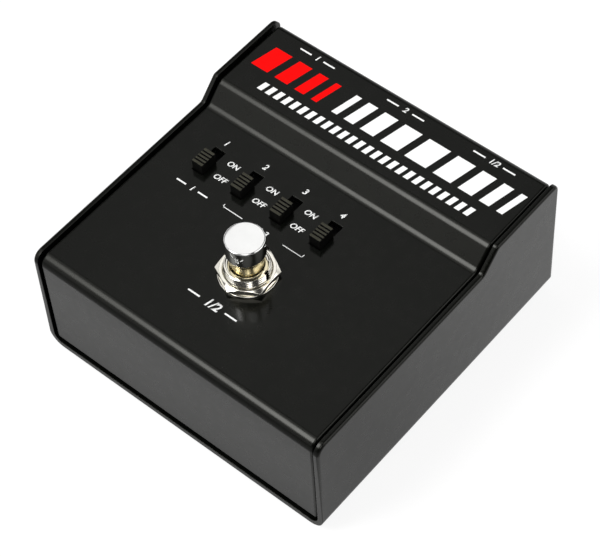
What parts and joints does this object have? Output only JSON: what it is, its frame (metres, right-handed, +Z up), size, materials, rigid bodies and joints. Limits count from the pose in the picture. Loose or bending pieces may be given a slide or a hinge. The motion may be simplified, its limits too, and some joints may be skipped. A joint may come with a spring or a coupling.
{
  "type": "ab footswitch",
  "caption": "Two-step folded steel floor box with a stomp switch, a row of slide switches and rear input and output sockets for choosing between two line signals.",
  "frame": {"origin": "middle of the underside of the rubber pad, on the surface that the box stands on", "axes": "+Z up, +Y to the rear face with the sockets, +X to the right seen from the front"},
  "size_m": [0.09, 0.0941, 0.0514],
  "materials": {
    "case_black": "satin black powder coat on folded steel",
    "bracket_black": "black",
    "pad_rubber": "matt black rubber",
    "black_screw": "black oxide",
    "zinc": "zinc plated",
    "nickel": "bright nickel plate",
    "bushing_gold": "pale nickel over brass",
    "plunger_chrome": "bright chrome",
    "spring_steel": "bare",
    "switch_plastic": "moulded, blue",
    "tinned_brass": "tinned",
    "knob_black": "matt black",
    "slide_steel": "tin plated",
    "slide_board": "black laminate",
    "board_green": "solder mask",
    "resistor_body": "lacquered",
    "header_black": "moulded",
    "ribbon_grey": "flat cable",
    "shell_black": "black coated die casting",
    "insert_black": "moulded",
    "latch_black": "black",
    "pin_silver": "silver plated"
  },
  "bodies": {
    "case": {"bottom_pad": "pad_rubber", "bracket_front": "bracket_black", "bracket_rear": "bracket_black", "chassis_base": "case_black", "combo_contacts_a": "tinned_brass", "combo_contacts_b": "tinned_brass", "combo_housing_a": "insert_black", "combo_housing_b": "insert_black", "combo_insert_a": "insert_black", "combo_insert_b": "insert_black", "combo_shell_a": "shell_black", "combo_shell_b": "shell_black", "connector_screws": "black_screw", "control_board": "board_green", "control_screws": "zinc", "control_standoffs": "zinc", "cover_screws": "black_screw", "main_board": "board_green", "output_insert": "insert_black", "output_pins": "pin_silver", "output_shell": "shell_black", "pad_resistors": "resistor_body", "plunger_spring": "spring_steel", "ribbon_cable": "ribbon_grey", "ribbon_headers": "header_black", "slide_base_1": "slide_board", "slide_base_2": "slide_board", "slide_base_3": "slide_board", "slide_base_4": "slide_board", "slide_case_1": "slide_steel", "slide_case_2": "slide_steel", "slide_case_3": "slide_steel", "slide_case_4": "slide_steel", "slide_pins": "tinned_brass", "switch_body": "switch_plastic", "switch_bushing": "bushing_gold", "switch_frame": "spring_steel", "switch_lock_washer": "zinc", "switch_lower_nut": "zinc", "switch_lugs": "tinned_brass", "switch_nut": "nickel", "switch_washer": "nickel", "top_cover": "case_black"},
    "plunger": {"footswitch_plunger": "plunger_chrome", "plunger_clip": "spring_steel"},
    "slide_1": {"slide_knob_1": "knob_black"},
    "slide_2": {"slide_knob_2": "knob_black"},
    "slide_3": {"slide_knob_3": "knob_black"},
    "slide_4": {"slide_knob_4": "knob_black"},
    "latch_a": {"combo_latch_a": "latch_black"},
    "latch_b": {"combo_latch_b": "latch_black"}
  },
  "joints": [
    {"name": "footswitch_press", "type": "slide", "parent": "case", "child": "plunger", "axis": [0, 0, -1], "range_m": [0, 0.003], "stiffness_N_per_m": 3000, "springref_m": -0.003, "deforming": ["plunger_spring"]},
    {"name": "slide_switch_1", "type": "slide", "parent": "case", "child": "slide_1", "axis": [0, 1, 0], "range_m": [0, 0.0033]},
    {"name": "slide_switch_2", "type": "slide", "parent": "case", "child": "slide_2", "axis": [0, 1, 0], "range_m": [0, 0.0033]},
    {"name": "slide_switch_3", "type": "slide", "parent": "case", "child": "slide_3", "axis": [0, 1, 0], "range_m": [0, 0.0033]},
    {"name": "slide_switch_4", "type": "slide", "parent": "case", "child": "slide_4", "axis": [0, 1, 0], "range_m": [0, 0.0033]},
    {"name": "latch_a_push", "type": "slide", "parent": "case", "child": "latch_a", "axis": [0, -1, 0], "range_m": [0, 0.0012], "stiffness_N_per_m": 1000, "springref_m": -0.002},
    {"name": "latch_b_push", "type": "slide", "parent": "case", "child": "latch_b", "axis": [0, -1, 0], "range_m": [0, 0.0012], "stiffness_N_per_m": 1000, "springref_m": -0.002}
  ]
}
